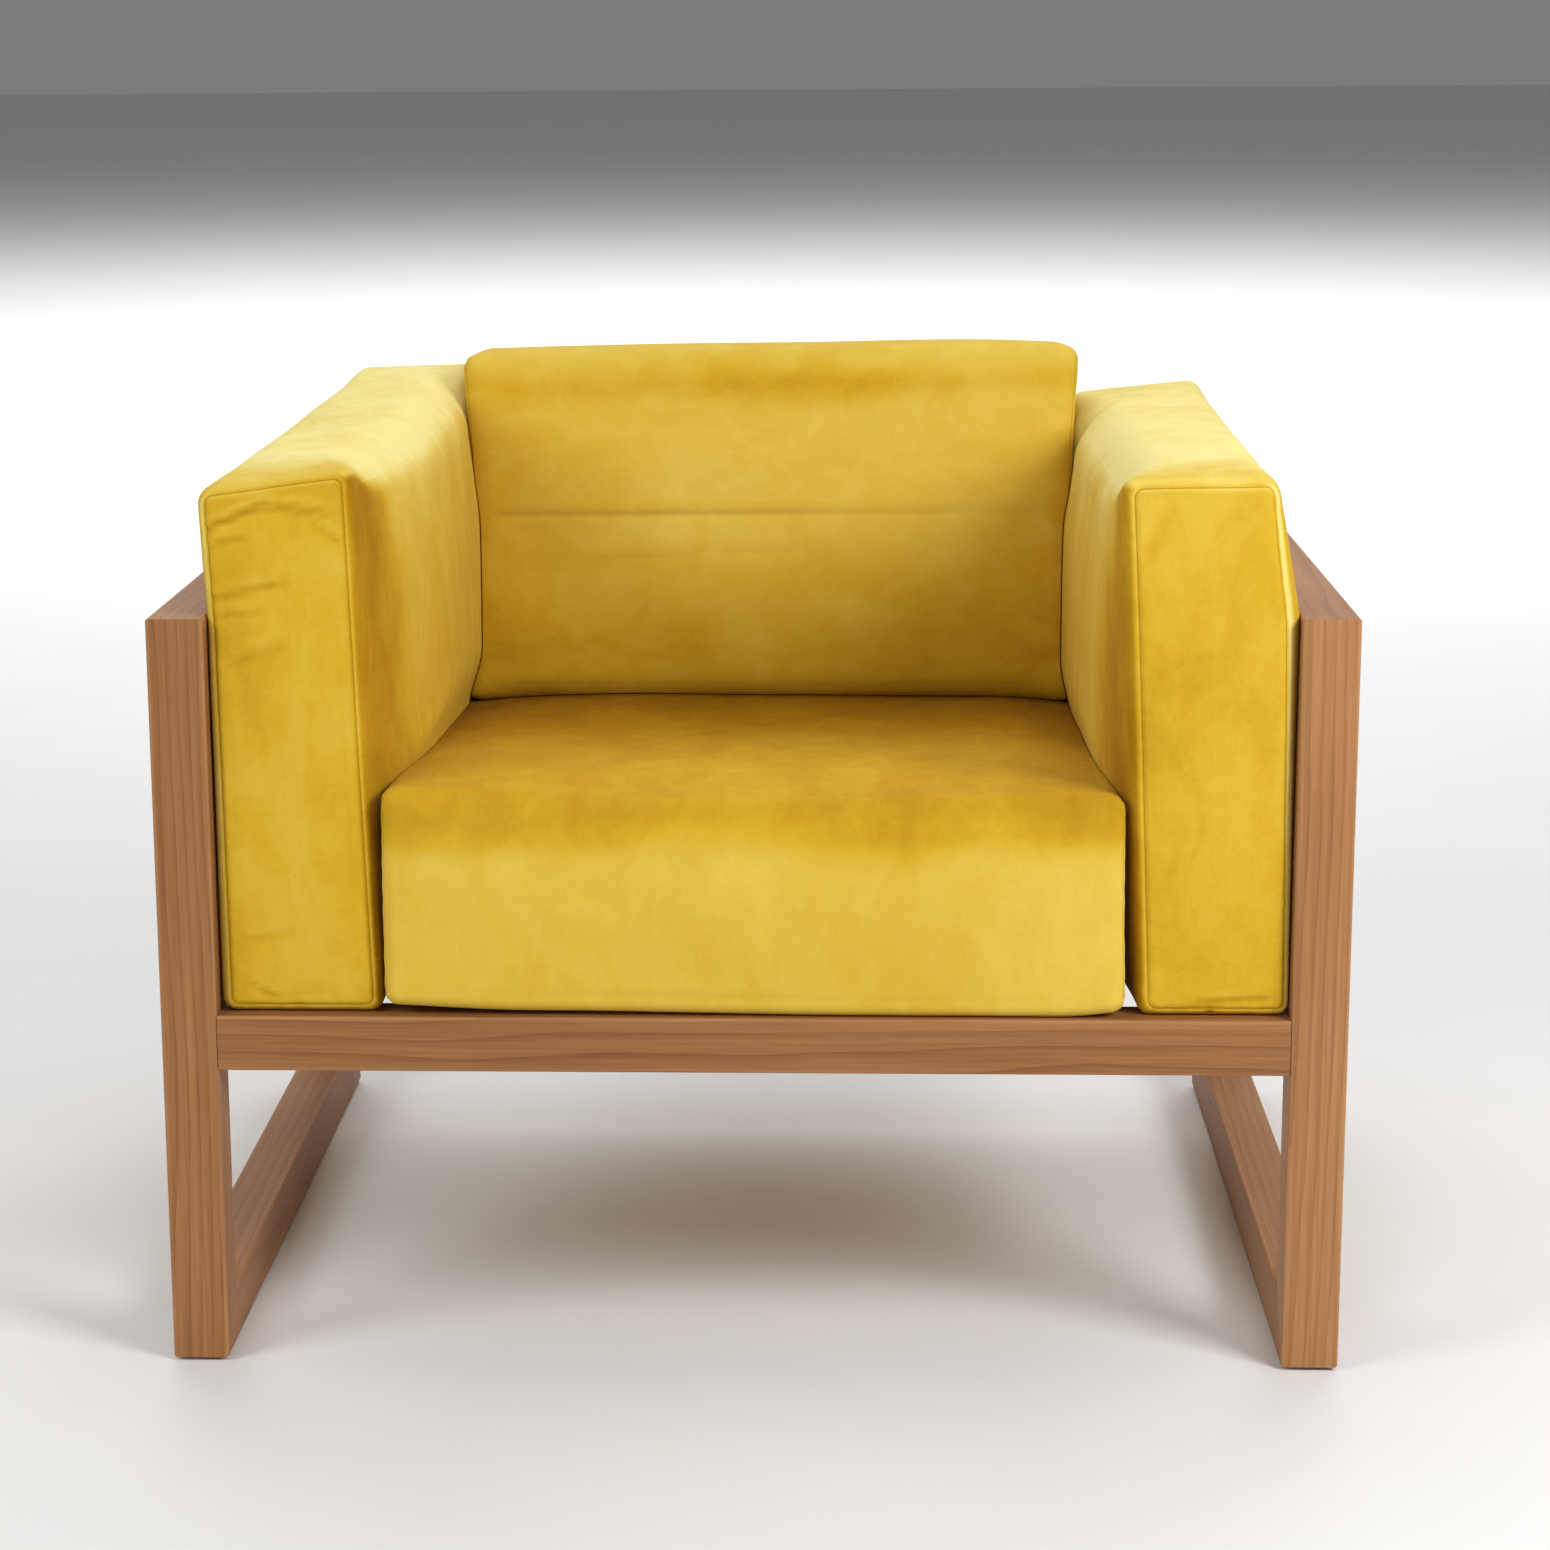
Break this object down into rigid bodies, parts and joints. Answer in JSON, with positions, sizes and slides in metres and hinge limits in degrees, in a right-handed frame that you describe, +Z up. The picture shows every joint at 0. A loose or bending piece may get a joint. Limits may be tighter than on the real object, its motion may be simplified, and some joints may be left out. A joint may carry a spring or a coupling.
{
  "type": "armchair",
  "caption": "Low lounge armchair: square hardwood side loops, slatted seat and back, and loose zipped box cushions for seat, back and both arms.",
  "frame": {"origin": "on the floor, under the middle of the frame's width and depth", "axes": "+X to the right across the width, +Y towards the back, +Z up; the sitter faces -Y"},
  "size_m": [0.94, 0.8, 0.7597],
  "materials": {
    "frame_wood": "satin",
    "slat_wood": "matte",
    "joinery_wood": "matte",
    "screw_steel": "satin",
    "glide_nylon": "matte",
    "velvet": "matte",
    "foam": "matte",
    "zip_tape": "matte",
    "zip_metal": "satin"
  },
  "bodies": {
    "root": {"left_front_post": "frame_wood", "left_rear_post": "frame_wood", "left_arm_rail": "frame_wood", "left_runner": "frame_wood", "right_front_post": "frame_wood", "right_rear_post": "frame_wood", "right_arm_rail": "frame_wood", "right_runner": "frame_wood", "front_seat_rail": "frame_wood", "rear_seat_rail": "frame_wood", "back_top_rail": "frame_wood", "seat_slat_1": "slat_wood", "seat_slat_2": "slat_wood", "seat_slat_3": "slat_wood", "seat_slat_4": "slat_wood", "seat_slat_5": "slat_wood", "seat_slat_6": "slat_wood", "seat_slat_7": "slat_wood", "back_slat_1": "slat_wood", "back_slat_2": "slat_wood", "back_slat_3": "slat_wood", "back_slat_4": "slat_wood", "back_slat_5": "slat_wood", "front_cleat": "slat_wood", "rear_cleat": "slat_wood", "corner_tenons": "joinery_wood", "rail_dowels": "joinery_wood", "cleat_screws": "screw_steel", "slat_screws": "screw_steel", "glides": "glide_nylon"},
    "seat_cushion": {"seat_cushion_cover": "velvet", "seat_cushion_foam": "foam", "seat_cushion_zip": "zip_tape"},
    "seat_cushion_zipper": {"seat_cushion_zip_slider": "zip_metal", "seat_cushion_zip_pull": "zip_metal"},
    "back_cushion": {"back_cushion_cover": "velvet", "back_cushion_foam": "foam", "back_cushion_zip": "zip_tape"},
    "back_cushion_zipper": {"back_cushion_zip_slider": "zip_metal", "back_cushion_zip_pull": "zip_metal"},
    "left_arm_cushion": {"left_arm_cushion_cover": "velvet", "left_arm_cushion_foam": "foam", "left_arm_cushion_zip": "zip_tape"},
    "left_arm_cushion_zipper": {"left_arm_cushion_zip_slider": "zip_metal", "left_arm_cushion_zip_pull": "zip_metal"},
    "right_arm_cushion": {"right_arm_cushion_cover": "velvet", "right_arm_cushion_foam": "foam", "right_arm_cushion_zip": "zip_tape"},
    "right_arm_cushion_zipper": {"right_arm_cushion_zip_slider": "zip_metal", "right_arm_cushion_zip_pull": "zip_metal"}
  },
  "joints": [
    {"name": "seat_cushion_lift", "type": "slide", "parent": "root", "child": "seat_cushion", "axis": [0, 0, 1], "range_m": [0, 0.45]},
    {"name": "back_cushion_lift", "type": "slide", "parent": "seat_cushion", "child": "back_cushion", "axis": [0, 0, 1], "range_m": [0, 0.32]},
    {"name": "left_arm_cushion_lift", "type": "slide", "parent": "root", "child": "left_arm_cushion", "axis": [0, 0, 1], "range_m": [0, 0.34]},
    {"name": "right_arm_cushion_lift", "type": "slide", "parent": "root", "child": "right_arm_cushion", "axis": [0, 0, 1], "range_m": [0, 0.34]},
    {"name": "seat_cushion_unzip", "type": "slide", "parent": "seat_cushion", "child": "seat_cushion_zipper", "axis": [-1, 0, 0], "range_m": [0, 0.44]},
    {"name": "back_cushion_unzip", "type": "slide", "parent": "back_cushion", "child": "back_cushion_zipper", "axis": [-1, 0, 0], "range_m": [0, 0.44]},
    {"name": "left_arm_cushion_unzip", "type": "slide", "parent": "left_arm_cushion", "child": "left_arm_cushion_zipper", "axis": [0, 1, 0], "range_m": [0, 0.62]},
    {"name": "right_arm_cushion_unzip", "type": "slide", "parent": "right_arm_cushion", "child": "right_arm_cushion_zipper", "axis": [0, 1, 0], "range_m": [0, 0.62]}
  ]
}
